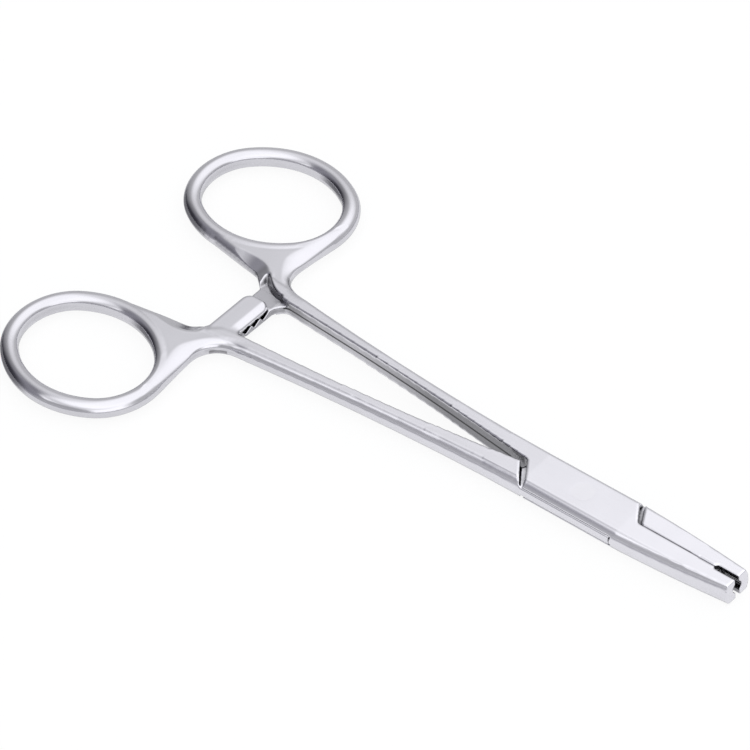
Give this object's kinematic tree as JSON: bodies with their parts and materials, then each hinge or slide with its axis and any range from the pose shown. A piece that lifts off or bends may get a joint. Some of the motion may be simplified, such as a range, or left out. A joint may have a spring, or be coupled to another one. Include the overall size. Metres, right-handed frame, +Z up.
{
  "type": "dermal anchor forceps",
  "caption": "Slender box-lock forceps with finger rings, a ratchet and a slotted tip that holds the post of a dermal anchor",
  "frame": {"origin": "on the pivot axis, in the plane of the box lock's underside", "axes": "+X from the pivot to the tip along the closed instrument, +Z up through the pivot pin, +Y to the side of the box half's ring"},
  "size_m": [0.1262, 0.0676, 0.0043],
  "materials": {
    "satin_steel": "polished stainless steel with a fine satin on the flats",
    "pin_steel": "stainless steel, hammered flush and ground with the box"
  },
  "bodies": {
    "box_body": {"box_half": "satin_steel", "pivot_pin": "pin_steel"},
    "tongue_body": {"tongue_half": "satin_steel"}
  },
  "joints": [
    {"name": "box_lock_hinge", "type": "hinge", "parent": "box_body", "child": "tongue_body", "pos_m": [0, 0, 0.00215], "axis": [0, 0, 1], "range_deg": [0, 45]}
  ]
}
